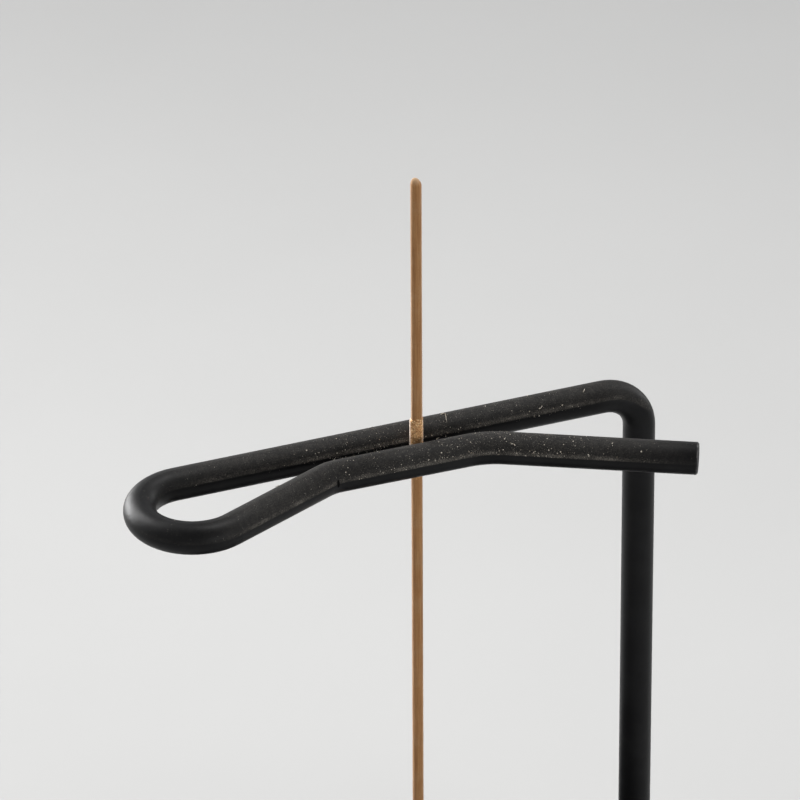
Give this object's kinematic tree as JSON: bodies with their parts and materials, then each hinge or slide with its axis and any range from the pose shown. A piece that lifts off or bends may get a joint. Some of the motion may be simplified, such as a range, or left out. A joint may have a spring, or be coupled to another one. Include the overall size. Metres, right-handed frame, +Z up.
{
  "type": "incense burner",
  "caption": "Bent-rod incense burner: a hairpin clip on a tall post holds an upright stick over a loose round ash tray on a heavy round base.",
  "frame": {"origin": "centre of the round base on the table, straight below the incense stick", "axes": "+Z up along the stick; the arm runs along X with the post on the +X side; the hairpin turns back on the -Y side, which is the front"},
  "size_m": [0.116, 0.116, 0.1817],
  "materials": {
    "rod_coating": "satin",
    "base_coating": "matte",
    "tray_coating": "satin",
    "screw_steel": "satin",
    "washer_steel": "satin",
    "foot_rubber": "matte",
    "incense_paste": "matte"
  },
  "bodies": {
    "stand": {"bent_rod": "rod_coating", "base_plate": "base_coating", "fixing_screw": "screw_steel", "lock_washer": "washer_steel", "rubber_foot_1": "foot_rubber", "rubber_foot_2": "foot_rubber", "rubber_foot_3": "foot_rubber", "rubber_foot_4": "foot_rubber"},
    "stick": {"incense_stick": "incense_paste"},
    "tray": {"ash_tray": "tray_coating"}
  },
  "joints": [
    {"name": "stick_slide", "type": "slide", "parent": "stand", "child": "stick", "axis": [0, 0, 1], "range_m": [-0.016, 0.09]},
    {"name": "tray_lift", "type": "slide", "parent": "stand", "child": "tray", "axis": [0, 0, 1], "range_m": [0, 0.015]}
  ]
}
